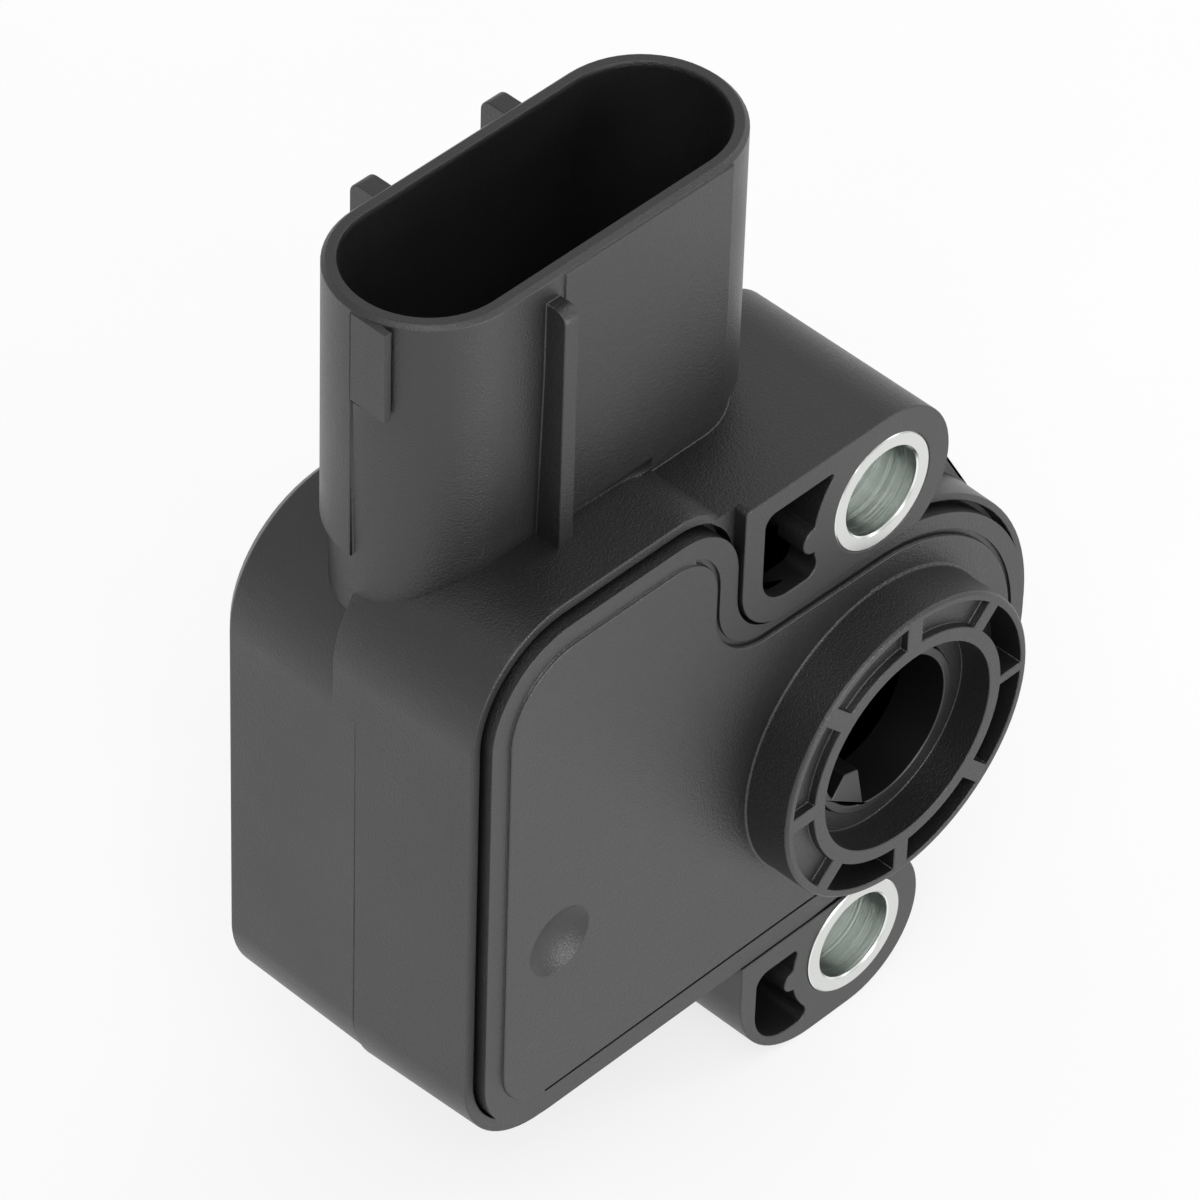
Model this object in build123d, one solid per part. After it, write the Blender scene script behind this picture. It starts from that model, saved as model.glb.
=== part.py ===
from build123d import *
import math
import os

# Throttle position sensor, millimetres. The origin lies on the drive axis, level with the
# front faces of the two metal bushings. Y runs back into the housing, Z runs up to the plug.

# Front edge of the housing, its seat for the cover, and the cover itself
rim_front = 1.15
rim = {"left": -40.9, "top": 31.75, "bottom": -19.05, "arc": 18.5, "top_r": 9.0,
       "bottom_r": 8.0, "neck_x": -14.3, "neck_z": 17.8, "crest_r": 6.3, "hollow_r": 4.2}
seat = {"left": -40.05, "top": 30.85, "bottom": -17.9, "arc": 17.9, "top_r": 8.1,
        "bottom_r": 7.2, "neck_x": -14.6, "neck_z": 17.05, "crest_r": 5.9, "hollow_r": 4.8}
edge = {"left": -39.75, "top": 30.4, "bottom": -17.75, "arc": 17.4, "top_r": 7.7,
        "bottom_r": 6.8, "neck_x": -14.85, "neck_z": 16.85, "crest_r": 6.0, "hollow_r": 5.0}
raised = {"left": -38.1, "top": 28.6, "bottom": -15.3, "arc": 15.6, "top_r": 6.4,
          "bottom_r": 4.7, "neck_x": -17.1, "neck_z": 15.9, "crest_r": 4.6, "hollow_r": 5.6}
room = {"left": -38.7, "top": 29.2, "bottom": -16.75, "arc": 16.3, "top_r": 6.6,
        "bottom_r": 5.8, "neck_x": -16.6, "neck_z": 15.4, "crest_r": 4.4, "hollow_r": 5.2}
parted = {"left": -41.25, "top": 31.9, "bottom": -19.25, "arc": 18.7, "top_r": 9.2,
          "bottom_r": 8.1, "neck_x": -14.3, "neck_z": 17.9, "crest_r": 6.4, "hollow_r": 4.2}
knee_x = -5.0                 # where the straight bottom edge starts to turn into the arc
over = 1.0                    # how far a cutter runs past the face it opens
sink = 0.5                    # how far a feature runs into the one that carries it
seat_floor = 2.6              # ledge the cover rests on
cover_front = 0.3
raised_front = 0.1
raised_bevel = 0.12
raised_groove = 0.4           # groove beside the raised face, on its right and lower sides
raised_groove_depth = 0.25
raised_groove_start = -19.4

# Depths and walls of the housing
parting_depth = 12.4
upper_parting_depth = 14.75
upper_parting_z = 18.7
parting_gap = 0.15            # fine groove along the parting line of the mould
parting_cut = 0.15
round_back = 18.0             # back of the round end and of both ears
housing_back = 26.4
back_wall = 2.2
rear_left = -41.1
rear_back_left = -40.9
parting_inset = rear_left - parted["left"] + parting_cut
rear_right = -8.4
rear_top = 28.6
rear_bottom = -19.15
rear_top_r = 10.0
rear_bottom_r = 8.0
rear_right_r = 2.0
side_wall = 2.2
back_edge_r = 0.8
deep_room_front = 10.8
deep_room_r = 2.0
corner_wall = 3.0

# Ears and the metal bushings in them
bolt_reach = 22.8             # bushing axis above and below the drive axis
bushing_r = 5.0
bushing_bore_r = 3.75
bushing_chamfer = 0.15
upper_ear = {"left": -14.6, "round_r": 7.12, "inner_corner_r": 4.8,
             "outer_corner_r": 0.5, "inner": 17.1, "front": 0.0}
lower_ear = {"left": -12.4, "round_r": 7.15, "inner_corner_r": 1.0,
             "outer_corner_r": 8.0, "inner": 14.0, "front": 0.2}
ear_shoulder_x = -16.2        # the upper ear is wider behind the level of the rim
web_front = 4.9               # front face of the webs that brace the ears
web_ear_x = 6.15
web_ear_rise = 3.6
web_arc_x = 15.3
web_arc_z = 10.6
upper_pocket = {"left": -12.5, "end": 28.05, "inner": 19.2, "end_r": 1.0, "inner_r": 2.8,
                "round_r": 7.25, "nub_x": -7.1, "nub_z": 22.6, "nub_r": 1.2,
                "inner_tip_r": 1.0, "end_tip_r": 0.35}
lower_pocket = {"left": -10.65, "end": 28.2, "inner": 20.05, "end_r": 4.0, "inner_r": 1.2,
                "round_r": 6.6, "nub_x": -6.5, "nub_z": 23.2, "nub_r": 1.0,
                "inner_tip_r": 0.5, "end_tip_r": 0.8}
pocket_back = 8.7

# Plug shroud
shroud_x = -21.6
shroud_y = 14.7
shroud_half = 10.65           # half the distance between the centres of its round ends
shroud_r = 7.43
shroud_inner_r = 6.15
shroud_neck_r = 6.8
shroud_mouth = 55.5
shroud_shoulder = 32.25
shroud_floor = 37.0
shroud_floor_wall = 2.6
shroud_base = 26.0
lead_in = 0.2
lead_in_depth = 0.5
lip_chamfer = 0.35
foot_spread = 0.25
foot_height = 0.35
foot_right = -17.0
draft_top = 47.0              # the left end of the shroud narrows from here down
draft_foot_r = 6.9
fin_xs = (-28.5, -15.6)
fin_width = 1.8
fin_reach = 3.2
fin_top = 54.2
fin_corner_r = 1.0
rib_x = -27.5
rib_width = 1.4
rib_reach = 1.9
rib_top = 53.4
rib_corner_r = 1.0
panel_left = -26.4
panel_right = -9.6
panel_proud = 0.12
panel_top = 55.0
pad_front = 11.2
pad_proud = 0.12
pad_foot = 47.0
pad_head = 55.0

# Round pilot of the cover and its bore
pilot_front = -4.05
pilot_r = 13.06
pilot_fillet_r = 0.2
pilot_edge_r = 0.2
pilot_bore_r = 8.93
bore_floor = -1.2
cell_outer_r = 12.35
cell_inner_r = 10.13
cell_backs = (-1.0, -3.35, -3.35, -3.35, -3.35, -1.0, -1.0, -1.0)   # from +X, turning to +Z
rib_turn = 45.0
cell_rib_widths = (0.85, 1.35, 1.6, 1.6, 1.4, 1.5, 1.5, 1.55)   # from +X, counterclockwise
dimple_x = -32.57
dimple_z = -0.43
dimple_r = 3.05
dimple_depth = 1.0

# Drive rotor, its bearings and seal
running_gap = 0.05
hub_r = 7.2
hub_bore_r = 6.45
hub_front = -1.7
hub_floor = 4.0
sleeve_r = 9.0
sleeve_back = 6.5
flange_front = 7.0
flange_back = 9.0
flange_r = 12.0
neck_r = 4.2
neck_back = 13.05
journal_r = 3.0
journal_back = 16.5
lug = ((-4.25, -1.74), (-2.75, -2.15), (-1.95, -6.3), (-5.6, -3.65))
bush_r = 4.6
bush_front = 13.6
bush_back = 16.6
bush_boss_r = 6.6
bush_boss_front = 14.0
journal_room = 16.8
journal_room_r = 3.3
washer_r = 4.5
washer_front = neck_back + running_gap
seal_r = 8.3
seal_front = 4.9
seal_groove = 0.5
seal_groove_width = 0.6
washer_bore_r = 3.2

# Return spring
spring_r = 10.4
wire_r = 0.4
spring_pitch = 1.0
spring_height = 3.0
spring_front = 3.5
spring_leg_back = 8.4
anchor_r = 13.2
anchor_post_r = 1.3
anchor_back = 4.6

# Element board, its tracks and the wipers that run on it
board_front = 12.0
board_thickness = 1.2
board_r = 14.4
board_left = -35.4
board_right = -10.9
board_top = 23.6
board_bottom = -3.0
board_hole_r = 5.0
track_thickness = 0.1
track_inner_r = 8.2
track_outer_r = 10.8
track_width = 1.5
track_start = 92.0
track_sweep = 116.0
lead_width = 0.7
lead_turns = (196.0, 184.0, 172.0, 160.0, 150.0, 140.0)
deep_stakes = ((-33.3, 0.0), (-20.0, 0.0), (-33.3, 14.0))
round_stakes = ((9.1, -9.1),)
stake_r = 1.0
stake_post_r = 2.1
stake_head_r = 1.7
stake_head = 0.7
wiper_thickness = 0.3
wiper_width = 1.3
wiper_start = 72.0
wiper_root_sweep = 12.0
wiper_root_behind = 5.0
wiper_foot_lap = 1.0           # degrees by which the arm's foot laps the root
wiper_sweep = 28.0
wiper_gap = 0.1
wiper_tip_r = 0.45
wiper_peg_r = 0.6

# Terminals
terminal_count = 6
terminal_pitch = 3.8
blade_width = 1.5
blade_thickness = 0.8
blade_tip = 45.5
blade_tip_chamfer = 0.3
pin_width = 0.8
pin_z = 20.0
pin_front = 11.2
pin_room = 0.15
solder_r = 1.3
solder_height = 0.6
solder_tip_r = 0.6

# Sealing bead under the edge of the cover
bead_inset = 0.15
bead_width = 0.7
bead_depth = 0.5

board_back = board_front + board_thickness


def at_depth(y):
    return Plane(origin=(0, y, 0), x_dir=(1, 0, 0), z_dir=(0, -1, 0))


def slab(profile, front, back):
    return extrude(at_depth(front) * profile, amount=back - front, dir=(0, 1, 0))


def rod(radius, front, back, x=0.0, z=0.0):
    return Pos(x, (front + back) / 2, z) * Rot(90, 0, 0) * Cylinder(radius, back - front)


def tube(outer, inner, front, back, x=0.0, z=0.0):
    return rod(outer, front, back, x, z) - rod(inner, front, back, x, z)


def block(x_low, x_high, y_low, y_high, z_low, z_high):
    middle = Pos((x_low + x_high) / 2, (y_low + y_high) / 2, (z_low + z_high) / 2)
    return middle * Box(x_high - x_low, y_high - y_low, z_high - z_low)


def stadium(radius, low, high):
    face = Pos(shroud_x, shroud_y, low) * SlotCenterToCenter(2 * shroud_half, 2 * radius)
    return extrude(face, amount=high - low, dir=(0, 0, 1))


def plate_outline(shape):
    # Straight left side, round right end about the drive axis, and a notch for the upper ear.
    left, top, bottom, arc = shape["left"], shape["top"], shape["bottom"], shape["arc"]
    top_r, bottom_r = shape["top_r"], shape["bottom_r"]
    crest_r, hollow_r = shape["crest_r"], shape["hollow_r"]
    neck_x, neck_z = shape["neck_x"], shape["neck_z"]
    reach = math.hypot(knee_x, bottom)
    if arc < reach:
        bend = knee_x
        start = math.degrees(math.atan2(bottom, knee_x) + math.acos(arc / reach))
    else:
        # The arc is wide enough for the bottom edge to run straight into it.
        bend = -math.sqrt(arc ** 2 - bottom ** 2)
        start = math.degrees(math.atan2(bottom, bend))
    stop = math.degrees(math.asin(neck_z / arc)) if neck_z < arc else 90.0
    touch = (arc * math.cos(math.radians(start)), arc * math.sin(math.radians(start)))
    leave = (arc * math.cos(math.radians(stop)), arc * math.sin(math.radians(stop)))
    lines = [Line((left + bottom_r, bottom), (bend, bottom))]
    if arc < reach:
        lines.append(Line((bend, bottom), touch))
    lines += [
        CenterArc((0, 0), arc, start, stop - start),
        Line(leave, (neck_x + hollow_r, neck_z)),
        CenterArc((neck_x + hollow_r, neck_z + hollow_r), hollow_r, 270, -90),
        Line((neck_x, neck_z + hollow_r), (neck_x, top - crest_r)),
        CenterArc((neck_x - crest_r, top - crest_r), crest_r, 0, 90),
        Line((neck_x - crest_r, top), (left + top_r, top)),
        CenterArc((left + top_r, top - top_r), top_r, 90, 90),
        Line((left, top - top_r), (left, bottom + bottom_r)),
        CenterArc((left + bottom_r, bottom + bottom_r), bottom_r, 180, 90),
    ]
    return make_face(lines)


def tapered(front_shape, back_shape, front, back):
    faces = [at_depth(front) * plate_outline(front_shape),
             at_depth(back) * plate_outline(back_shape)]
    return loft(faces, ruled=True)


def corner_cut_panel(left, inner, end, side, inner_r, end_r):
    # Rectangle from the given left edge to the bushing's axis, with two rounded left corners.
    panel = Polygon((left, side * inner), (0, side * inner), (0, side * end),
                    (left, side * end), align=None)
    for z, radius in ((side * inner, inner_r), (side * end, end_r)):
        panel = fillet(panel.vertices().sort_by_distance((left, z))[0], radius)
    return panel


def ear_outline(ear, side):
    # side is +1 for the upper ear and -1 for the lower one
    panel = corner_cut_panel(ear["left"], ear["inner"], bolt_reach + ear["round_r"], side,
                             ear["inner_corner_r"], ear["outer_corner_r"])
    return panel + Pos(0, side * bolt_reach) * Circle(ear["round_r"])


def web_outline(side):
    # Brace between the round end of an ear and the round end of the housing.
    return Polygon((0, 0), (web_arc_x, side * web_arc_z),
                   (web_ear_x, side * (bolt_reach + web_ear_rise)),
                   (0, side * bolt_reach), align=None)


def pocket_outline(pocket, side):
    panel = corner_cut_panel(pocket["left"], pocket["inner"], pocket["end"], side,
                             pocket["inner_r"], pocket["end_r"])
    panel = panel - Pos(0, side * bolt_reach) * Circle(pocket["round_r"])
    for z, radius in ((pocket["inner"], pocket["inner_tip_r"]),
                      (pocket["end"], pocket["end_tip_r"])):
        tip = (-math.sqrt(pocket["round_r"] ** 2 - (z - bolt_reach) ** 2), side * z)
        panel = fillet(panel.vertices().sort_by_distance(tip)[0], radius)
    return panel - Pos(pocket["nub_x"], side * pocket["nub_z"]) * Circle(pocket["nub_r"])


def terminal_xs():
    middle = (terminal_count - 1) / 2
    return [shroud_x + (i - middle) * terminal_pitch for i in range(terminal_count)]


def rear_block():
    height = rear_top - rear_bottom
    front_face = at_depth(parting_depth) * rear_outline(rear_left, height)
    back_face = at_depth(housing_back) * rear_outline(rear_back_left, height)
    body = loft([front_face, back_face], ruled=True)
    rim_edges = body.edges().group_by(Axis.Y)[-1]
    return chamfer(rim_edges, back_edge_r)


def rear_outline(left, height):
    middle = Pos((left + rear_right) / 2, rear_bottom + height / 2)
    plain = middle * Rectangle(rear_right - left, height)
    for corner, radius in (((left, rear_top), rear_top_r), ((left, rear_bottom), rear_bottom_r),
                           ((rear_right, rear_top), rear_right_r),
                           ((rear_right, rear_bottom), rear_right_r)):
        plain = fillet(plain.vertices().sort_by_distance(corner)[0], radius)
    return plain


def housing_shell():
    shell = tapered(rim, parted, rim_front, parting_depth)
    upper = slab(plate_outline(parted), parting_depth, upper_parting_depth)
    shell += upper & block(parted["left"] - over, 0, parting_depth, upper_parting_depth,
                           upper_parting_z, parted["top"] + over)
    shell += slab(plate_outline(rim), parting_depth, round_back) & block(
        rear_right - rear_right_r - over, rim["arc"] + over, parting_depth, round_back,
        rim["bottom"] - over, rim["arc"] + over)
    shell += rear_block()
    groove = slab(plate_outline(parted), parting_depth, parting_depth + parting_gap)
    groove -= slab(offset(plate_outline(parted), amount=-parting_inset), parting_depth - over,
                   parting_depth + parting_gap + over)
    return shell - (groove & block(parted["left"] - over, knee_x, 0, parting_depth + over,
                                   parted["bottom"] - over, upper_parting_z))


def housing_ears():
    upper = slab(ear_outline(upper_ear, 1), upper_ear["front"], round_back)
    shoulder = block(ear_shoulder_x, 0, rim_front, round_back, upper_ear["inner"],
                     bolt_reach + upper_ear["round_r"])
    shoulder += upper
    lower = slab(ear_outline(lower_ear, -1), lower_ear["front"], round_back)
    webs = slab(web_outline(1), web_front, round_back)
    webs += slab(web_outline(-1), web_front, round_back)
    return shoulder + lower + webs


def shroud_face(radius, z):
    return Pos(shroud_x, shroud_y, z) * SlotCenterToCenter(2 * shroud_half, 2 * radius)


def shroud_foot():
    # Sloping foot where the shroud meets the housing, between the rib and the upper ear.
    low = parted["top"] - sink
    high = parted["top"] + foot_height
    foot = loft([shroud_face(shroud_r + foot_spread, low), shroud_face(shroud_r, high)],
                ruled=True)
    return foot & block(rib_x, foot_right, 0, upper_parting_depth, low, high)


def drafted_end():
    # Front of the shroud's left end, which narrows towards the housing.
    end = loft([shroud_face(draft_foot_r, shroud_base), shroud_face(shroud_r, draft_top)],
               ruled=True)
    return end & block(rim["left"] - over, rib_x, 0, shroud_y, shroud_base, draft_top)


def shroud_outside():
    left_end = shroud_x - shroud_half - shroud_r
    outside = stadium(shroud_r, shroud_shoulder, shroud_mouth)
    outside = chamfer(outside.edges().group_by(Axis.Z)[-1], lip_chamfer)
    outside -= block(left_end - over, rib_x, 0, shroud_y, shroud_shoulder - over, draft_top)
    outside += stadium(shroud_neck_r, shroud_base, shroud_shoulder)
    outside += shroud_foot() + drafted_end()
    back_wall_y = shroud_y + shroud_r
    for fin_x in fin_xs:
        fin = block(fin_x - fin_width / 2, fin_x + fin_width / 2, back_wall_y - sink,
                    back_wall_y + fin_reach, rear_top - sink, fin_top)
        corner = (fin_x, back_wall_y + fin_reach, fin_top)
        outside += fillet(fin.edges().sort_by_distance(corner)[0], fin_corner_r)
    front_wall_y = shroud_y - shroud_r
    rib = block(rib_x - rib_width / 2, rib_x + rib_width / 2, front_wall_y - rib_reach,
                front_wall_y + sink, parted["top"] - sink, rib_top)
    corner = (rib_x, front_wall_y - rib_reach, rib_top)
    outside += fillet(rib.edges().sort_by_distance(corner)[0], rib_corner_r)
    outside += block(panel_left, panel_right, front_wall_y - panel_proud,
                     front_wall_y + sink, shroud_shoulder, panel_top)
    outside += block(left_end - pad_proud, left_end + sink, pad_front, shroud_y,
                     pad_foot, pad_head)
    return outside - block(left_end - over, left_end + parting_cut, shroud_y - parting_gap,
                           shroud_y, shroud_base, pad_foot)


def shroud_inside():
    inside = stadium(shroud_inner_r, shroud_floor, shroud_mouth + over)
    lead = loft([shroud_face(shroud_inner_r, shroud_mouth - lead_in_depth),
                 shroud_face(shroud_inner_r + lead_in, shroud_mouth)], ruled=True)
    return inside + lead


def housing_room():
    # Space for the board, the rotor and the terminals.
    front_room = slab(plate_outline(room), seat_floor - sink, deep_room_front + sink)
    round_floor = round_back - back_wall
    front_room += slab(plate_outline(room), deep_room_front, round_floor) & block(
        room["left"] + corner_wall, room["arc"] + over, deep_room_front, round_floor,
        room["bottom"], room["arc"])
    left = rear_left + side_wall
    right = rear_right - side_wall
    top = rear_top - side_wall
    bottom = room["bottom"]
    deep = block(left, right, deep_room_front, housing_back - back_wall, bottom, top)
    uprights = deep.edges().filter_by(Axis.Y)
    deep = fillet(uprights, deep_room_r)
    terminal_room = stadium(shroud_neck_r - side_wall, top - over,
                            shroud_floor - shroud_floor_wall)
    corner_cut = block(rim["left"], room["left"] + corner_wall, deep_room_front - over,
                       housing_back, upper_parting_z, top + over)
    return front_room + (deep - corner_cut) + terminal_room


def board_stake(x, z, foot):
    # Post that carries the board, with a pin through it and a head melted over the pin.
    stake = rod(stake_post_r, board_back, foot + sink, x, z)
    stake += rod(stake_r, board_front - stake_head / 2, board_back + sink, x, z)
    return stake + rod(stake_head_r, board_front - stake_head, board_front, x, z)


def make_housing():
    body = housing_shell() + housing_ears() + shroud_outside()
    body -= slab(plate_outline(seat), upper_ear["front"] - over, seat_floor)
    body -= housing_room()
    body -= shroud_inside()
    body -= slab(pocket_outline(upper_pocket, 1), -over, pocket_back)
    body -= slab(pocket_outline(lower_pocket, -1), -over, pocket_back)
    for side in (1, -1):
        body -= rod(bushing_r, -over, round_back + over, 0, side * bolt_reach)
    body += rod(bush_boss_r, bush_boss_front, round_back - sink)
    body -= rod(bush_r, bush_boss_front - over, bush_back)
    body -= rod(journal_room_r, bush_back - sink, journal_room)
    for x, z in deep_stakes:
        body += board_stake(x, z, housing_back - back_wall)
    for x, z in round_stakes:
        body += board_stake(x, z, round_back - back_wall)
    for x in terminal_xs():
        body -= terminal_blade(x)
    return body - make_bead()


def make_bead():
    # Flat ring of sealant laid in the ledge under the edge of the cover.
    outer = offset(plate_outline(edge), amount=-bead_inset)
    inner = offset(plate_outline(edge), amount=-bead_inset - bead_width)
    ring = slab(outer, seat_floor, seat_floor + bead_depth)
    return ring - slab(inner, seat_floor - over, seat_floor + bead_depth + over)


def ring_cell_cutter():
    # Eight cells between the two rings. Those on the upper left are shallow.
    cells = Part()
    half = cell_outer_r + over
    for turn, back in enumerate(cell_backs):
        sector = Polygon((0, 0), (half, 0), (half, half), align=None)
        sector = Rot(0, -turn * rib_turn, 0) * slab(sector, pilot_front - 2 * over, back + over)
        cells += tube(cell_outer_r, cell_inner_r, pilot_front - over, back) & sector
    for turn, width in enumerate(cell_rib_widths):
        wall = block(cell_inner_r - over, cell_outer_r + over, pilot_front - 2 * over,
                     max(cell_backs) + over, -width / 2, width / 2)
        cells -= Rot(0, -turn * rib_turn, 0) * wall
    return cells


def raised_face():
    panel = slab(plate_outline(raised), raised_front, cover_front + sink)
    return chamfer(panel.edges().group_by(Axis.Y)[0], raised_bevel)


def raised_face_groove():
    # Runs from the corner beside the upper ear round the arc and along the bottom.
    outline = plate_outline(raised)
    back = cover_front + raised_groove_depth
    ring = slab(offset(outline, amount=raised_groove), cover_front - over, back)
    ring -= slab(outline, cover_front - 2 * over, back + over)
    beside = block(raised_groove_start, raised["arc"] + over, -over, back + over,
                   raised["bottom"] + raised["bottom_r"], raised["top"] + over)
    below = block(raised["left"] + raised["bottom_r"], raised["arc"] + over, -over, back + over,
                  -raised["arc"] - over, raised["bottom"] + raised["bottom_r"])
    return ring & (beside + below)


def pilot_ring():
    ring = rod(pilot_r, pilot_front, cover_front)
    ring = chamfer(ring.edges().group_by(Axis.Y)[0], pilot_edge_r)
    root_r = pilot_r + pilot_fillet_r
    root_y = raised_front - pilot_fillet_r
    hollow = Pos(0, root_y, 0) * Rot(90, 0, 0) * Torus(root_r, pilot_fillet_r)
    root = rod(root_r, root_y, cover_front) - hollow
    return ring + root


def make_cover():
    cover = slab(plate_outline(edge), cover_front, seat_floor)
    cover += raised_face()
    cover -= raised_face_groove()
    cover += pilot_ring()
    cover += rod(sleeve_r, seat_floor - sink, sleeve_back)
    cover -= rod(pilot_bore_r, pilot_front - over, bore_floor)
    cover -= rod(hub_r + running_gap, bore_floor - over, sleeve_back + over)
    cover -= rod(seal_r, seal_front, sleeve_back + over)
    cover -= ring_cell_cutter()
    dish_r = (dimple_r ** 2 + dimple_depth ** 2) / (2 * dimple_depth)
    dish_y = raised_front + dimple_depth - dish_r
    cover -= Pos(dimple_x, dish_y, dimple_z) * Sphere(dish_r)
    cover += rod(anchor_post_r, seat_floor - sink, anchor_back, anchor_r, 0)
    return cover - spring_fixed_leg()


def spring_fixed_leg():
    middle = Pos((spring_r + anchor_r) / 2, spring_front, 0)
    return middle * Rot(0, 90, 0) * Cylinder(wire_r, anchor_r - spring_r)


def make_spring():
    coil_path = Rot(-90, 0, 0) * Helix(pitch=spring_pitch, height=spring_height, radius=spring_r)
    coil_path = Pos(0, spring_front, 0) * coil_path
    start = coil_path @ 0
    end = coil_path @ 1
    section = Plane(origin=start, z_dir=coil_path % 0) * Circle(wire_r)
    coil = sweep(section, path=coil_path, is_frenet=True)
    return coil + spring_fixed_leg() + rod(wire_r, end.Y, spring_leg_back, end.X, end.Z)


def make_rotor():
    rotor = rod(hub_r, hub_front, flange_back)
    rotor -= rod(hub_bore_r, hub_front - over, hub_floor)
    rotor += slab(Polygon(*lug, align=None), hub_front, hub_floor + sink)
    rotor += rod(flange_r, flange_front, flange_back)
    rotor += rod(neck_r, flange_back - sink, neck_back)
    rotor += rod(journal_r, neck_back - sink, journal_back)
    rotor -= rod(wire_r, flange_front - over, spring_leg_back, spring_r, 0)
    for radius in (track_inner_r, track_outer_r):
        rotor += wiper_peg(radius)
    return rotor


def polar(radius, turn):
    return (radius * math.cos(math.radians(turn)), radius * math.sin(math.radians(turn)))


def wiper_peg(radius):
    return rod(wiper_peg_r, flange_back - sink, flange_back + wiper_thickness,
               *polar(radius, wiper_start))


def arc_strip(radius, width, start, sweep_angle):
    outer, inner = radius + width / 2, radius - width / 2
    lines = [CenterArc((0, 0), outer, start, sweep_angle),
             CenterArc((0, 0), inner, start, sweep_angle)]
    ends = [Line(lines[0] @ 0, lines[1] @ 0), Line(lines[0] @ 1, lines[1] @ 1)]
    return make_face(lines + ends)


def make_wiper(radius):
    # Flat root riveted to the flange, and an arm bent back to a round contact on the track.
    root_start = wiper_start - wiper_root_behind
    root = slab(arc_strip(radius, wiper_width, root_start, wiper_root_sweep), flange_back,
                flange_back + wiper_thickness)
    root -= wiper_peg(radius)
    tip_y = board_front - track_thickness - wiper_gap
    foot_x, foot_z = polar(radius, root_start + wiper_root_sweep - wiper_foot_lap)
    tip_x, tip_z = polar(radius, wiper_start + wiper_sweep)
    foot = Vector(foot_x, flange_back + wiper_thickness, foot_z)
    tip = Vector(tip_x, tip_y - wiper_tip_r - wiper_thickness, tip_z)
    arm_plane = Plane(origin=foot, x_dir=Vector(foot_x, 0, foot_z), z_dir=tip - foot)
    arm = extrude(arm_plane * Rectangle(wiper_width, wiper_thickness),
                  amount=(tip - foot).length)
    return root + arm + Pos(tip_x, tip_y - wiper_tip_r, tip_z) * Sphere(wiper_tip_r)


def board_outline():
    plain = Polygon((board_left, board_bottom), (0, board_bottom), (0, board_r / 2),
                    (board_right, board_r / 2), (board_right, board_top),
                    (board_left, board_top), align=None)
    outline = plain + Circle(board_r)
    return outline - Circle(board_hole_r)


def make_board():
    board = slab(board_outline(), board_front, board_back)
    for x, z in deep_stakes + round_stakes:
        board -= rod(stake_r, board_front - over, board_back + over, x, z)
    for x in terminal_xs():
        board -= rod(pin_width / 2 + pin_room, board_front - over, board_back + over, x, pin_z)
    return board


def make_tracks():
    front = board_front - track_thickness
    return [slab(arc_strip(r, track_width, track_start, track_sweep), front, board_front)
            for r in (track_inner_r, track_outer_r)]


def make_lead(x, turn):
    # Printed conductor from a solder joint to the outer edge of the tracks.
    front = board_front - track_thickness
    start = (x, pin_z - solder_r - lead_width / 2)
    end = polar(track_outer_r + track_width / 2 + lead_width, turn)
    length = math.dist(start, end)
    slant = math.degrees(math.atan2(end[1] - start[1], end[0] - start[0]))
    middle = Pos((start[0] + end[0]) / 2, (start[1] + end[1]) / 2)
    return slab(middle * Rot(0, 0, slant) * Rectangle(length, lead_width), front, board_front)


def terminal_blade(x):
    half_w, half_t = blade_width / 2, blade_thickness / 2
    return block(x - half_w, x + half_w, shroud_y - half_t, shroud_y + half_t,
                 pin_z - pin_width / 2, blade_tip)


def make_terminal(x):
    blade = terminal_blade(x)
    tip = blade.faces().sort_by(Axis.Z)[-1]
    blade = chamfer(tip.edges(), blade_tip_chamfer)
    pin = rod(pin_width / 2, pin_front, shroud_y, x, pin_z)
    return blade + pin


def make_solder(x):
    wide = at_depth(board_front) * Pos(x, pin_z) * Circle(solder_r)
    narrow = at_depth(board_front - solder_height) * Pos(x, pin_z) * Circle(solder_tip_r)
    joint = loft([wide, narrow], ruled=True)
    return joint - rod(pin_width / 2, pin_front - over, board_front + over, x, pin_z)


def make_bushing(side):
    bushing = tube(bushing_r, bushing_bore_r, 0, round_back, 0, side * bolt_reach)
    inner_edges = bushing.edges().filter_by(GeomType.CIRCLE).sort_by(SortBy.RADIUS)[:2]
    return chamfer(inner_edges, bushing_chamfer)


def make_seal():
    seal = tube(seal_r, hub_r + running_gap, seal_front, sleeve_back)
    groove = tube(hub_r + seal_groove_width, hub_r - over, sleeve_back - seal_groove,
                  sleeve_back + over)
    return seal - groove


def make_bush():
    return tube(bush_r, journal_r + running_gap, bush_front, bush_back)


def make_washer():
    return tube(washer_r, washer_bore_r, washer_front, bush_front)


def save(name, shape):
    shape.label = name
    export_step(shape, f"parts/{name}.step")
    print(name, round(shape.volume, 2), "mm3", len(shape.solids()), "solid(s)")


os.makedirs("parts", exist_ok=True)
save("housing", make_housing())
save("cover", make_cover())
save("cover_bead", make_bead())
save("upper_bushing", make_bushing(1))
save("lower_bushing", make_bushing(-1))
save("rotor", make_rotor())
save("shaft_seal", make_seal())
save("rear_bush", make_bush())
save("thrust_washer", make_washer())
save("return_spring", make_spring())
save("inner_wiper", make_wiper(track_inner_r))
save("outer_wiper", make_wiper(track_outer_r))
save("element_board", make_board())
save("resistive_tracks", Compound(children=make_tracks()))
leads = [make_lead(x, turn) for x, turn in zip(terminal_xs(), lead_turns)]
save("board_leads", Compound(children=leads))
for number, terminal_x in enumerate(terminal_xs(), start=1):
    save(f"terminal_{number}", make_terminal(terminal_x))
save("solder_joints", Compound(children=[make_solder(x) for x in terminal_xs()]))
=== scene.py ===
import math

import bmesh
import bpy
from mathutils import Matrix, Vector


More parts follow.
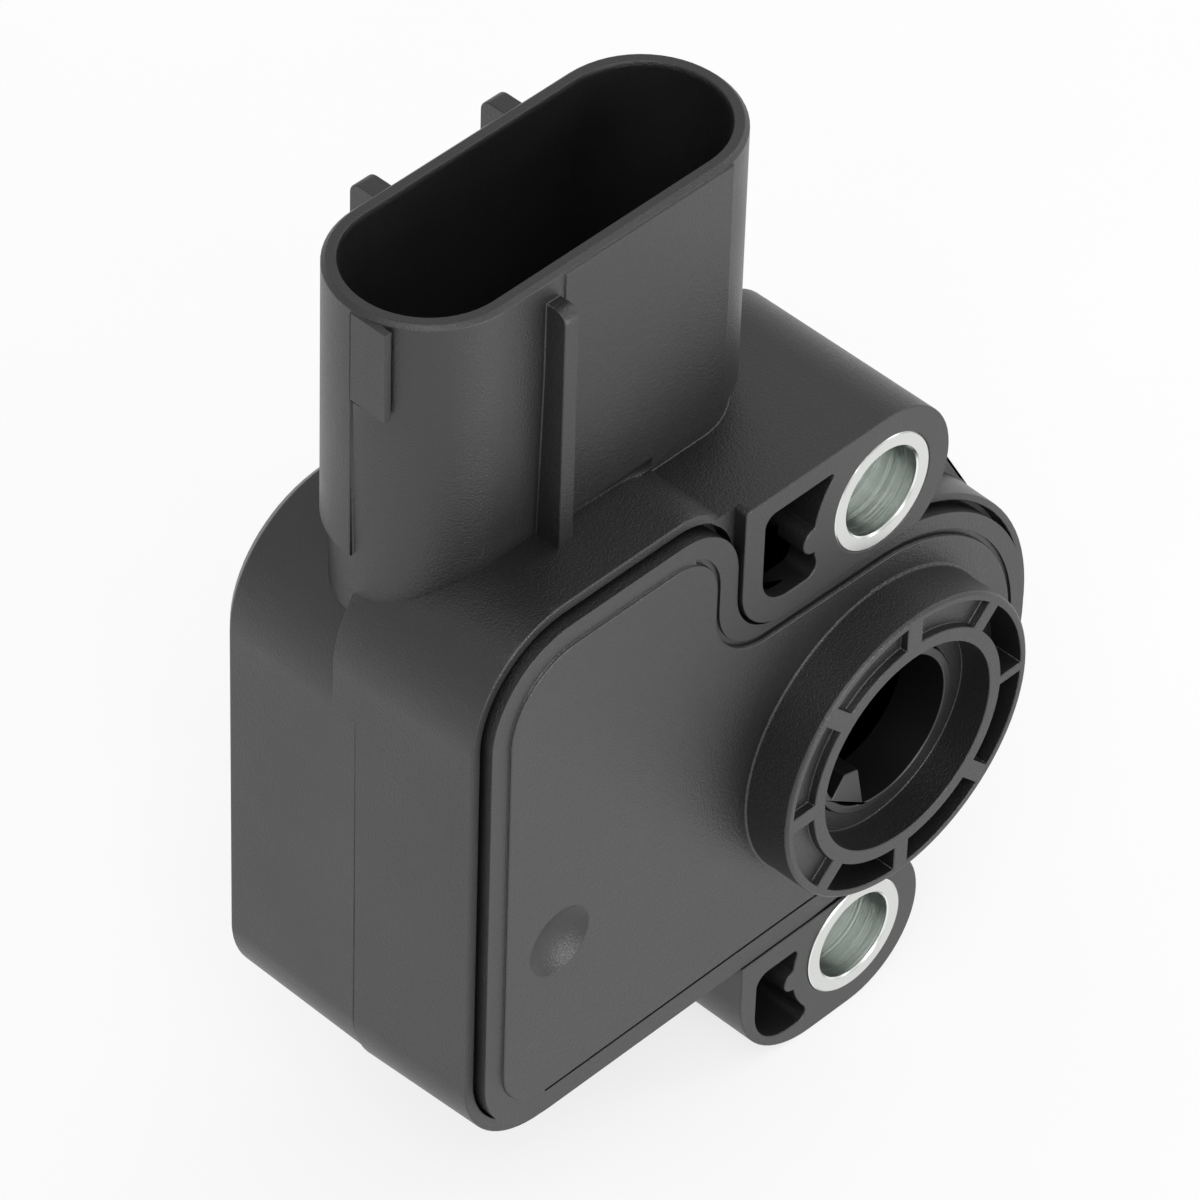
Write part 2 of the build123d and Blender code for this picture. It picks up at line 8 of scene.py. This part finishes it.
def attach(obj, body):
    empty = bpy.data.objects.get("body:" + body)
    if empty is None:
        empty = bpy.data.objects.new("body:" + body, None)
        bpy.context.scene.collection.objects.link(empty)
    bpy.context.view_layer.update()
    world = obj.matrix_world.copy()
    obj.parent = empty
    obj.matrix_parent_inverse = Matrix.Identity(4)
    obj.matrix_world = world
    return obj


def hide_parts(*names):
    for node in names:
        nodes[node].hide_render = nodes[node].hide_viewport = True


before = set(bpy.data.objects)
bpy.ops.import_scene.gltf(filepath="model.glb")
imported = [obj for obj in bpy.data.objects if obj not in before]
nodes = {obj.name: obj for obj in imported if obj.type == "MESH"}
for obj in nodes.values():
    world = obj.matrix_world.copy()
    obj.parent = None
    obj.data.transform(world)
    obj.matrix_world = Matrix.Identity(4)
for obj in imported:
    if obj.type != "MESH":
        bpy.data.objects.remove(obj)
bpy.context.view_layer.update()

mm = 0.001

# camera, solved from the photograph; places in mm
camera = {
    "place": (-351.841, -300.399, 442.490),
    "right": (0.69822, -0.71546, 0.02451),
    "up": (0.47591, 0.48947, 0.73070),
    "back": (-0.53478, -0.49852, 0.68226),
    "lens": 258.85,
    "sensor": 36.0,
    "nearest": 0.01,             # metres
    "farthest": 20.0,
}


def makeCamera():
    data = bpy.data.cameras.new("photoCamera")
    data.lens = camera["lens"]
    data.sensor_width = camera["sensor"]
    data.clip_start = camera["nearest"]
    data.clip_end = camera["farthest"]
    holder = bpy.data.objects.new("photoCamera", data)
    bpy.context.scene.collection.objects.link(holder)
    turn = Matrix((camera["right"], camera["up"], camera["back"])).transposed().to_4x4()
    turn.translation = Vector(camera["place"]) * mm
    holder.matrix_world = turn
    bpy.context.scene.camera = holder


# light and floor; the floor lies just under the lower ear
studio = {
    "floorHeight": -30.05,      # mm
    "floorSize": 3.0,
    "floorColour": (0.93, 0.93, 0.93, 1),
    "floorRough": 0.7,
    "floorGrain": 60,
    "floorVary": 0.01,
    # share of the floor that cameras and glossy faces see as plain white
    "floorGlow": 0.75,
    "skyColour": (1, 1, 1, 1),
    "skyLevel": 0.66,
    # softboxes: place in metres, side in metres, power in watts
    "lamps": {"keySoftbox": ((-1.0, -0.9, 1.5), 1.2, 14.0),
              "fillSoftbox": ((1.3, -0.5, 1.0), 1.2, 6.0),
              "frontSoftbox": ((-0.1, -1.5, 0.35), 0.7, 4.0),
              "lowSoftbox": ((0.05, -0.40, 0.02), 0.10, 0.5)},
}


def makeLamp(name, place, size, power):
    data = bpy.data.lights.new(name, "AREA")
    data.shape = "SQUARE"
    data.size = size
    data.energy = power
    lamp = bpy.data.objects.new(name, data)
    bpy.context.scene.collection.objects.link(lamp)
    lamp.location = place
    lamp.rotation_mode = "QUATERNION"
    lamp.rotation_quaternion = (-Vector(place)).to_track_quat("-Z", "Y")


def makeStudio():
    bpy.context.scene.view_settings.view_transform = "Standard"
    world = bpy.data.worlds.new("studioSky")
    bpy.context.scene.world = world
    world.use_nodes = True
    sky = world.node_tree.nodes["Background"]
    sky.inputs["Color"].default_value = studio["skyColour"]
    sky.inputs["Strength"].default_value = studio["skyLevel"]
    for name, (place, size, power) in studio["lamps"].items():
        makeLamp(name, place, size, power)
    paper = newMaterial("floorPaper", studio["floorColour"], studio["floorRough"])
    grain = paper.noise(studio["floorGrain"], detail=3)
    paper.vary(grain, studio["floorColour"], studio["floorVary"])
    paper.showWhite(studio["floorGlow"])
    mesh = bpy.data.meshes.new("floor")
    bm = bmesh.new()
    bmesh.ops.create_grid(bm, x_segments=1, y_segments=1, size=studio["floorSize"])
    bmesh.ops.translate(bm, verts=bm.verts, vec=(0, 0, studio["floorHeight"] * mm))
    bm.to_mesh(mesh)
    bm.free()
    floor = bpy.data.objects.new("floor", mesh)
    bpy.context.scene.collection.objects.link(floor)
    mesh.materials.append(paper.material)


class newMaterial:
    def __init__(self, name, colour, roughness, metal=0.0):
        self.material = bpy.data.materials.new(name)
        self.material.use_nodes = True
        self.tree = self.material.node_tree
        self.shader = self.tree.nodes["Principled BSDF"]
        self.shader.inputs["Base Color"].default_value = colour
        self.shader.inputs["Roughness"].default_value = roughness
        self.shader.inputs["Metallic"].default_value = metal
        self.place = self.node("ShaderNodeTexCoord").outputs["Object"]
        self.bumpSoFar = None

    def node(self, kind, **values):
        made = self.tree.nodes.new(kind)
        for key, value in values.items():
            setattr(made, key, value)
        return made

    def link(self, start, end):
        self.tree.links.new(start, end)

    def stretched(self, scale):
        mapping = self.node("ShaderNodeMapping")
        mapping.inputs["Scale"].default_value = scale
        self.link(self.place, mapping.inputs["Vector"])
        return mapping.outputs["Vector"]

    def noise(self, scale, detail=2.0, rough=0.5, along=None):
        made = self.node("ShaderNodeTexNoise")
        made.inputs["Scale"].default_value = scale
        made.inputs["Detail"].default_value = detail
        made.inputs["Roughness"].default_value = rough
        self.link(along or self.place, made.inputs["Vector"])
        return made.outputs["Fac"]

    def mapRange(self, source, low, high, fromLow=0.3, fromHigh=0.7):
        made = self.node("ShaderNodeMapRange")
        made.inputs["From Min"].default_value = fromLow
        made.inputs["From Max"].default_value = fromHigh
        made.inputs["To Min"].default_value = low
        made.inputs["To Max"].default_value = high
        self.link(source, made.inputs["Value"])
        return made.outputs["Result"]

    def mix(self, source, first, second):
        made = self.node("ShaderNodeMix", data_type="RGBA")
        self.link(source, made.inputs["Factor"])
        colours = {socket.name: socket for socket in made.inputs if socket.type == "RGBA"}
        for socket, value in ((colours["A"], first), (colours["B"], second)):
            if isinstance(value, bpy.types.NodeSocket):
                self.link(value, socket)
            else:
                socket.default_value = value
        return next(socket for socket in made.outputs if socket.type == "RGBA")

    def vary(self, source, colour, amount):
        dark = [c * (1 - amount) for c in colour[:3]] + [1]
        pale = [c * (1 + amount) for c in colour[:3]] + [1]
        self.link(self.mix(self.mapRange(source, 0, 1), dark, pale),
                  self.shader.inputs["Base Color"])

    def roughness(self, source, low, high):
        self.link(self.mapRange(source, low, high), self.shader.inputs["Roughness"])

    def showWhite(self, share):
        # camera, glossy and transmission rays see part of the surface as plain white
        rays = self.node("ShaderNodeLightPath")
        either = self.node("ShaderNodeMath", operation="MAXIMUM")
        self.link(rays.outputs["Is Camera Ray"], either.inputs[0])
        self.link(rays.outputs["Is Glossy Ray"], either.inputs[1])
        through = self.node("ShaderNodeMath", operation="MAXIMUM")
        self.link(either.outputs[0], through.inputs[0])
        self.link(rays.outputs["Is Transmission Ray"], through.inputs[1])
        part = self.node("ShaderNodeMath", operation="MULTIPLY")
        self.link(through.outputs[0], part.inputs[0])
        part.inputs[1].default_value = share
        white = self.node("ShaderNodeEmission")
        blend = self.node("ShaderNodeMixShader")
        self.link(part.outputs[0], blend.inputs["Fac"])
        self.link(self.shader.outputs["BSDF"], blend.inputs[1])
        self.link(white.outputs["Emission"], blend.inputs[2])
        self.link(blend.outputs["Shader"], self.tree.nodes["Material Output"].inputs["Surface"])

    def bump(self, source, depth, strength=1.0):
        made = self.node("ShaderNodeBump")
        made.inputs["Distance"].default_value = depth
        made.inputs["Strength"].default_value = strength
        self.link(source, made.inputs["Height"])
        if self.bumpSoFar:
            self.link(self.bumpSoFar, made.inputs["Normal"])
        self.bumpSoFar = made.outputs["Normal"]
        self.link(self.bumpSoFar, self.shader.inputs["Normal"])


plasticLooks = {
    "housingPlastic": {"colour": (0.0080, 0.0080, 0.0083, 1), "rough": (0.34, 0.42),
                       "ior": 1.66, "grain": 5800, "grainDepth": 0.000095, "wave": 70},
    "coverPlastic": {"colour": (0.0080, 0.0080, 0.0081, 1), "rough": (0.33, 0.41),
                     "ior": 1.65, "grain": 5800, "grainDepth": 0.000100, "wave": 60},
    "rotorPlastic": {"colour": (0.0062, 0.0062, 0.0062, 1), "rough": (0.32, 0.40),
                     "ior": 1.6, "grain": 7000, "grainDepth": 0.000004, "wave": 90},
    "washerPlastic": {"colour": (0.55, 0.52, 0.44, 1), "rough": (0.35, 0.45),
                      "ior": 1.5, "grain": 6000, "grainDepth": 0.000003, "wave": 120},
}


# what all the moulded plastics share
moulded = {"grainRough": 0.6, "grainStrength": 0.6, "waveRough": 0.55, "waveVary": 0.12,
           "waveDepth": 0.00006, "waveStrength": 0.25}


def makePlastic(name):
    look = plasticLooks[name]
    made = newMaterial(name, look["colour"], look["rough"][0])
    grain = made.noise(look["grain"], detail=3, rough=moulded["grainRough"])
    wave = made.noise(look["wave"], detail=4, rough=moulded["waveRough"])
    made.vary(wave, look["colour"], moulded["waveVary"])
    made.roughness(wave, *look["rough"])
    made.bump(grain, look["grainDepth"], moulded["grainStrength"])
    made.bump(wave, moulded["waveDepth"], moulded["waveStrength"])
    made.shader.inputs["IOR"].default_value = look["ior"]
    return made.material


metalLooks = {
    "bushingSteel": {"colour": (0.93, 0.96, 0.94, 1), "tint": (0.86, 0.90, 0.87, 1),
                     # face: the colour of a bushing's front end, darker than its bore: painted
                     # shade
                     "face": (0.70, 0.71, 0.69, 1), "rough": (0.16, 0.30),
                     "streak": (60, 2800, 60), "depth": 0.000080},
    "springSteel": {"colour": (0.46, 0.45, 0.43, 1), "tint": (0.36, 0.35, 0.33, 1),
                    "rough": (0.25, 0.4), "streak": (1500, 1500, 1500), "depth": 0.000002},
    "bearingBronze": {"colour": (0.55, 0.34, 0.15, 1), "tint": (0.40, 0.24, 0.11, 1),
                      "rough": (0.35, 0.5), "streak": (2500, 2500, 2500), "depth": 0.000006},
    "solderAlloy": {"colour": (0.62, 0.62, 0.60, 1), "tint": (0.5, 0.5, 0.48, 1),
                    "rough": (0.18, 0.3), "streak": (1200, 1200, 1200), "depth": 0.000004},
    "wiperMetal": {"colour": (0.76, 0.70, 0.55, 1), "tint": (0.66, 0.60, 0.46, 1),
                   "rough": (0.2, 0.32), "streak": (2500, 300, 2500), "depth": 0.000002},
    "terminalTin": {"colour": (0.66, 0.66, 0.64, 1), "tint": (0.56, 0.56, 0.53, 1),
                    "rough": (0.22, 0.36), "streak": (2500, 2500, 160), "depth": 0.000003},
}


# what all the metals share; the darker front face of a bushing, painted shade, ends between these
# depths
metals = {"streakRough": 0.6, "streakStrength": 0.5, "film": 160,
          "faceFrom": 0.02 * mm, "faceTo": 0.1 * mm}


def makeMetal(name):
    look = metalLooks[name]
    made = newMaterial(name, look["colour"], look["rough"][0], metal=1.0)
    streaks = made.noise(1, detail=4, rough=metals["streakRough"],
                         along=made.stretched(look["streak"]))
    film = made.noise(metals["film"], detail=3)
    colour = made.mix(made.mapRange(film, 0, 1), look["colour"], look["tint"])
    if "face" in look:
        # the flat front end is coloured darker than the bore behind it: painted shade on the same
        # plated steel
        parts = made.node("ShaderNodeSeparateXYZ")
        made.link(made.place, parts.inputs[0])
        depth = made.mapRange(parts.outputs["Y"], 0, 1, metals["faceFrom"], metals["faceTo"])
        colour = made.mix(depth, look["face"], colour)
    made.link(colour, made.shader.inputs["Base Color"])
    made.roughness(streaks, *look["rough"])
    made.bump(streaks, look["depth"], metals["streakStrength"])
    return made.material


softLooks = {
    "sealantBead": {"colour": (0.03, 0.03, 0.03, 1), "tint": (0.05, 0.05, 0.05, 1),
                    "rough": (0.35, 0.5), "scale": 900, "depth": 0.00002},
    "sealRubber": {"colour": (0.012, 0.012, 0.012, 1), "tint": (0.02, 0.02, 0.02, 1),
                   "rough": (0.55, 0.7), "scale": 3000, "depth": 0.00001},
    "boardLaminate": {"colour": (0.30, 0.24, 0.13, 1), "tint": (0.24, 0.19, 0.10, 1),
                      "rough": (0.4, 0.55), "scale": 2200, "depth": 0.00001},
    "carbonInk": {"colour": (0.012, 0.012, 0.013, 1), "tint": (0.02, 0.02, 0.02, 1),
                  "rough": (0.45, 0.6), "scale": 4500, "depth": 0.000005},
    "silverInk": {"colour": (0.52, 0.52, 0.50, 1), "tint": (0.42, 0.42, 0.40, 1),
                  "rough": (0.4, 0.5), "scale": 3500, "depth": 0.000006},
}


softStrength = 0.5


def makeSoft(name):
    look = softLooks[name]
    made = newMaterial(name, look["colour"], look["rough"][0])
    texture = made.noise(look["scale"], detail=3)
    made.link(made.mix(made.mapRange(texture, 0, 1), look["colour"], look["tint"]),
              made.shader.inputs["Base Color"])
    made.roughness(texture, *look["rough"])
    made.bump(texture, look["depth"], softStrength)
    return made.material


makeCamera()
makeStudio()
print("camera, floor and light are set")

materials = {name: makePlastic(name) for name in plasticLooks}
materials.update({name: makeMetal(name) for name in metalLooks})
materials.update({name: makeSoft(name) for name in softLooks})
print("materials:", len(materials))


def dress(piece, finish):
    piece.data.materials.clear()
    piece.data.materials.append(materials[finish])


carriedOver = {
    "housingPlastic": ["housing"],
    "coverPlastic": ["cover"],
    "rotorPlastic": ["rotor"],
    "washerPlastic": ["thrust_washer"],
    "bushingSteel": ["upper_bushing", "lower_bushing"],
    "springSteel": ["return_spring"],
    "bearingBronze": ["rear_bush"],
    "solderAlloy": ["solder_joints"],
    "wiperMetal": ["inner_wiper", "outer_wiper"],
    "terminalTin": [f"terminal_{n}" for n in range(1, 7)],
    "sealantBead": ["cover_bead"],
    "sealRubber": ["shaft_seal"],
    "boardLaminate": ["element_board"],
    "carbonInk": ["resistive_tracks"],
    "silverInk": ["board_leads"],
}
for finish, names in carriedOver.items():
    for name in names:
        dress(nodes[name], finish)
print("finishes are on the carried-over parts")


roundedParts = {
    # rounds: widths in mm for edges whose middle lies in a box (x, x, y, y, z, z), first fit wins
    "housing": {"name": "housingMoulding", "body": "case", "slot": "housing_plastic",
                "finish": "housingPlastic", "angle": 32, "rounds": [
                    (0.0, (-16.6, -13.0, 0.9, 1.5, 17.5, 30.2)),     # thin sliver beside the ear
                    (0.0, (-16.6, -14.4, -0.1, 18.1, 29.8, 30.2)),   # where rim and ear top meet
                    (0.0, (-39.6, -17.0, 5.0, 15.0, 28.0, 33.0)),    # foot of the plug shroud
                    (0.06, (-42.0, 0.0, 5.0, 25.0, 54.8, 55.6)),     # lip of the shroud
                    (0.12, (-99.0, 99.0, -99.0, 99.0, -99.0, 99.0))]},
    "cover": {"name": "coverMoulding", "body": "case", "slot": "cover_plastic",
              "finish": "coverPlastic", "angle": 30, "rounds": [
                  (0.06, (-36.0, -29.2, 0.05, 0.2, -4.0, 3.2)),    # rim of the dimple
                  (0.0, (-99.0, 99.0, 0.5, 0.6, -99.0, 99.0)),     # bottom of the fine groove
                  (0.04, (-99.0, 99.0, 0.25, 0.35, -99.0, 99.0)),  # its outer edge
                  (0.10, (-99.0, 99.0, -99.0, 99.0, -99.0, 99.0))]},
    "rotor": {"name": "rotorMoulding", "body": "rotor", "slot": "rotor_plastic",
              "finish": "rotorPlastic", "angle": 32, "rounds": [
                  (0.12, (-99.0, 99.0, -99.0, 99.0, -99.0, 99.0))]},
}


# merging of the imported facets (mm, degrees) and the rounding of what stays sharp
merge = {"doubles": 0.002, "flat": 0.3, "segments": 3, "normalWeight": 60}


def edgeWidth(edge, rounds):
    middle = (edge.verts[0].co + edge.verts[1].co) / 2 / mm
    for width, (x0, x1, y0, y1, z0, z1) in rounds:
        if x0 < middle.x < x1 and y0 < middle.y < y1 and z0 < middle.z < z1:
            return width
    return 0.0


def finishPiece(piece, finish, body, replaced):
    bpy.context.scene.collection.objects.link(piece)
    dress(piece, finish)
    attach(piece, body)
    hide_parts(replaced)


# the cover's dimple: the ball that shaped it and its rim, in mm
dish = {"centre": (-32.57, -4.05, -0.43), "ballRadius": 5.15, "rimRadius": 3.05,
        "rimDepth": 0.1, "near": 0.02, "level": 0.001, "cuts": 3}


def dishFaces(bm):
    centre, ball, near = Vector(dish["centre"]) * mm, dish["ballRadius"] * mm, dish["near"] * mm
    return [face for face in bm.faces
            if all(abs((vert.co - centre).length - ball) < near for vert in face.verts)]


def smoothDish(bm):
    # the dimple's facets are cut finer and laid on the ball that shaped them
    centre, ball = Vector(dish["centre"]) * mm, dish["ballRadius"] * mm
    bmesh.ops.triangulate(bm, faces=dishFaces(bm))
    facets = dishFaces(bm)
    edges = list({edge for face in facets for edge in face.edges})
    corners = {vert for face in facets for vert in face.verts}
    bmesh.ops.subdivide_edges(bm, edges=edges, cuts=dish["cuts"], use_grid_fill=True)
    for vert in bm.verts:
        out = vert.co - centre
        if vert in corners or out.length > ball + dish["near"] * mm:
            continue
        if abs(vert.co.y - dish["rimDepth"] * mm) < dish["level"] * mm:
            out.y = 0
            out *= dish["rimRadius"] * mm / out.length
            vert.co = (centre.x + out.x, vert.co.y, centre.z + out.z)
        elif out.y > 0:
            vert.co = centre + out * (ball / out.length)
    print("dimple:", len(facets), "facets smoothed")


def roundedCopy(node, look):
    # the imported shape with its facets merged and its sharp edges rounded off
    mesh = bpy.data.meshes.new(look["name"])
    bm = bmesh.new()
    bm.from_mesh(nodes[node].data)
    bmesh.ops.remove_doubles(bm, verts=bm.verts, dist=merge["doubles"] * mm)
    bmesh.ops.dissolve_limit(bm, angle_limit=math.radians(merge["flat"]), verts=bm.verts,
                             edges=bm.edges)
    if node == "cover":
        smoothDish(bm)
    widest = max(width for width, box in look["rounds"])
    weight = bm.edges.layers.float.new("bevel_weight_edge")
    for edge in bm.edges:
        sharp = edge.calc_face_angle(0) > math.radians(look["angle"])
        width = edgeWidth(edge, look["rounds"]) if sharp else 0.0
        edge[weight] = width / widest
        edge.smooth = width > 0 or not sharp     # an edge that isn't rounded stays crisp
    for face in bm.faces:
        face.smooth = True
    bm.to_mesh(mesh)
    bm.free()
    piece = bpy.data.objects.new(look["name"], mesh)
    rounding = piece.modifiers.new("roundedEdges", "BEVEL")
    rounding.width = widest * mm
    rounding.segments = merge["segments"]
    rounding.limit_method = "WEIGHT"
    rounding.use_clamp_overlap = False
    even = piece.modifiers.new("evenNormals", "WEIGHTED_NORMAL")
    even.keep_sharp = True
    even.weight = merge["normalWeight"]
    finishPiece(piece, look["finish"], look["body"], node)
    return piece


for node, look in roundedParts.items():
    piece = roundedCopy(node, look)
    print(node, "has", len(piece.data.polygons), "faces before its edges are rounded")


# radii and lengths in mm, and the height of each bolt axis
bushings = {
    "outside": 5.0, "bore": 3.75, "length": 18.0, "boreChamfer": 0.15, "rimRound": 0.12,
    "turns": 96, "sharpFrom": 30, "heights": {"upper_bushing": 22.8, "lower_bushing": -22.8},
}


def makeBushing(node, height):
    # profile in the plane through the bolt axis, spun once round it
    outside, bore, length = bushings["outside"], bushings["bore"], bushings["length"]
    chamfer, rim = bushings["boreChamfer"], bushings["rimRound"]
    profile = [(bore, chamfer), (bore + chamfer, 0), (outside - rim, 0), (outside, rim),
               (outside, length - rim), (outside - rim, length), (bore + chamfer, length),
               (bore, length - chamfer)]
    bm = bmesh.new()
    ring = [bm.verts.new((r * mm, y * mm, height * mm)) for r, y in profile]
    edges = [bm.edges.new((a, b)) for a, b in zip(ring, ring[1:] + ring[:1])]
    bmesh.ops.spin(bm, geom=ring + edges, cent=(0, 0, height * mm), axis=(0, 1, 0),
                   angle=math.tau, steps=bushings["turns"], use_merge=True)
    bmesh.ops.recalc_face_normals(bm, faces=bm.faces)
    for face in bm.faces:
        face.smooth = True
    for edge in bm.edges:
        edge.smooth = edge.calc_face_angle(0) < math.radians(bushings["sharpFrom"])
    mesh = bpy.data.meshes.new(node + "Turned")
    bm.to_mesh(mesh)
    bm.free()
    piece = bpy.data.objects.new(node + "Turned", mesh)
    finishPiece(piece, "bushingSteel", "case", node)


for node, height in bushings["heights"].items():
    makeBushing(node, height)
print("bushings are turned")
